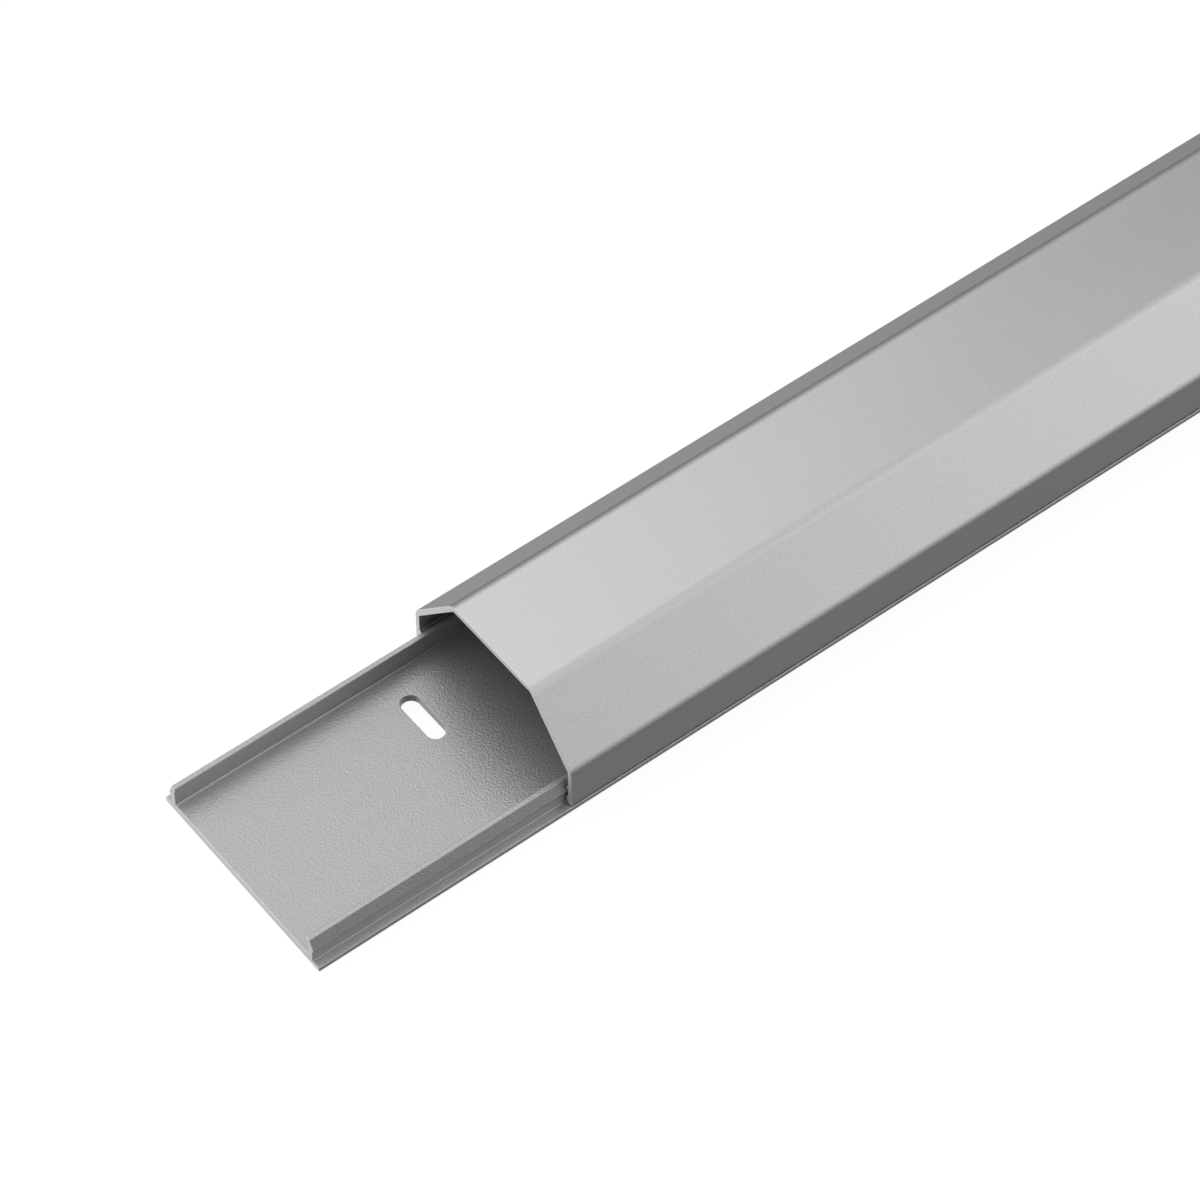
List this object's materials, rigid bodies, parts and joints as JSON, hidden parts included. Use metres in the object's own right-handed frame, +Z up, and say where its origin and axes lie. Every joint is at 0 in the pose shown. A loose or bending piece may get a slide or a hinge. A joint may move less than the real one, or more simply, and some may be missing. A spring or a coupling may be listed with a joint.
{
  "type": "cable channel",
  "caption": "Straight aluminium cable channel: flat base rail with barbed ribs and a row of screw slots, under an angular clip-on cover that slides along it.",
  "frame": {"origin": "middle of the base rail's underside", "axes": "+X along the channel, from the end that the cover is slid back from; +Y across it, towards the screw slots; +Z up, away from the wall or floor it is fixed to"},
  "size_m": [1.16, 0.05, 0.026],
  "materials": {
    "base_aluminium": "satin silver-grey coat with a fine orange-peel grain, bare at the sawn ends",
    "cover_aluminium": "satin silver-grey coat with a fine orange-peel grain, bare at the sawn ends"
  },
  "bodies": {
    "base": {"base_rail": "base_aluminium"},
    "cover": {"cover": "cover_aluminium"}
  },
  "joints": [
    {"name": "cover_slide", "type": "slide", "parent": "base", "child": "cover", "axis": [1, 0, 0], "range_m": [-0.06, 0.44]}
  ]
}
